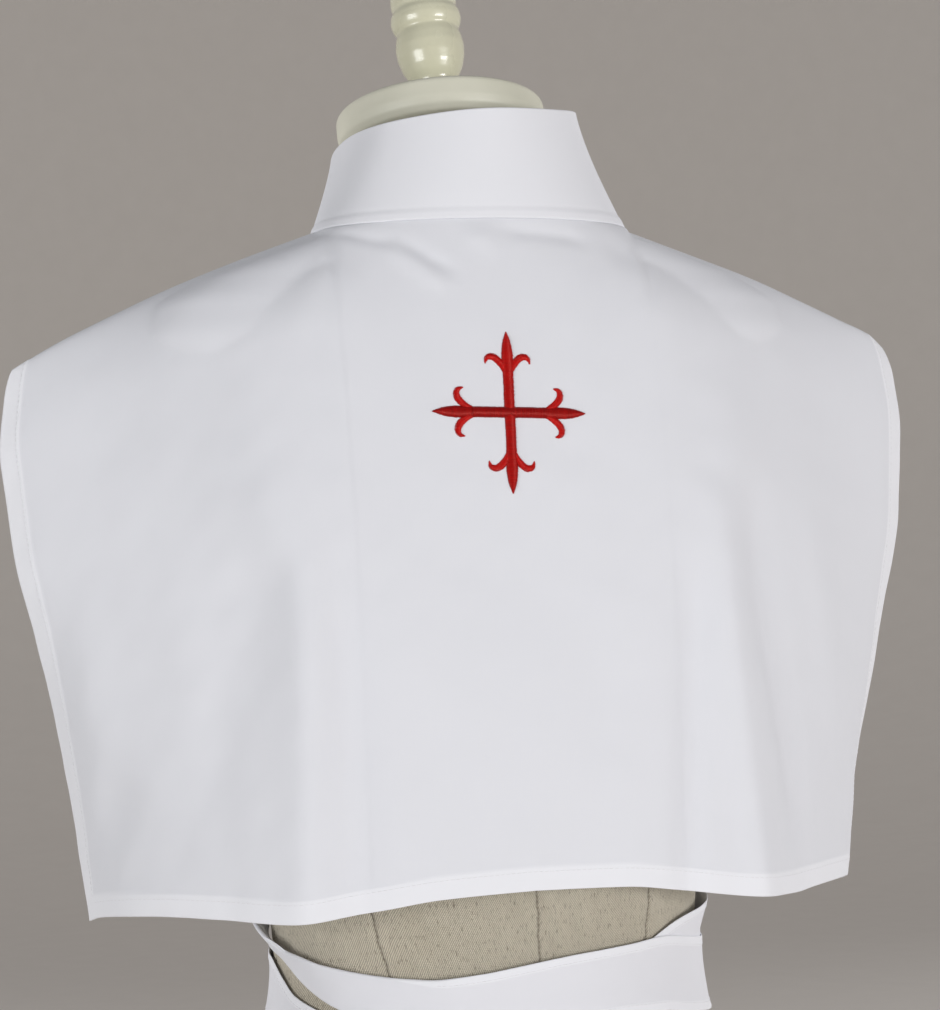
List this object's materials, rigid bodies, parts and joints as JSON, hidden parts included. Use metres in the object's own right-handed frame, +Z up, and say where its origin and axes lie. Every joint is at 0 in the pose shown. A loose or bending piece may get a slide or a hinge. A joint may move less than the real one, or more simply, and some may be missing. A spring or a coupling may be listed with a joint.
{
  "type": "amice on a dress form",
  "caption": "White amice with a stand collar and an embroidered red cross, tied round a limbless linen dress form on a low stand.",
  "frame": {"origin": "centre of the foot's underside, under the form's middle", "axes": "+Z up along the form, -Y the way the chest looks, +X towards the wearer's left"},
  "size_m": [0.5221, 0.3, 0.9461],
  "materials": {
    "amice_cloth": "matte plain weave, cool white",
    "tie_cloth": "matte plain weave, cool white",
    "red_thread": "satin-stitch thread with a soft sheen",
    "form_linen": "greige linen with a fine twill grain",
    "cap_paint": "pale satin paint",
    "finial_lacquer": "glossy cream lacquer",
    "stand_metal": "satin grey"
  },
  "bodies": {
    "root": {"amice_body": "amice_cloth", "collar": "amice_cloth", "embroidered_cross": "red_thread", "tie_left_chest": "tie_cloth", "tie_left_back": "tie_cloth", "tie_left_waist": "tie_cloth", "tie_left_end": "tie_cloth", "tie_right_chest": "tie_cloth", "tie_right_back": "tie_cloth", "tie_right_waist": "tie_cloth", "tie_right_end": "tie_cloth", "tie_knot": "tie_cloth", "form_body": "form_linen", "form_neck_cap": "cap_paint", "form_finial": "finial_lacquer", "form_pole": "stand_metal", "form_foot": "stand_metal"}
  },
  "joints": []
}
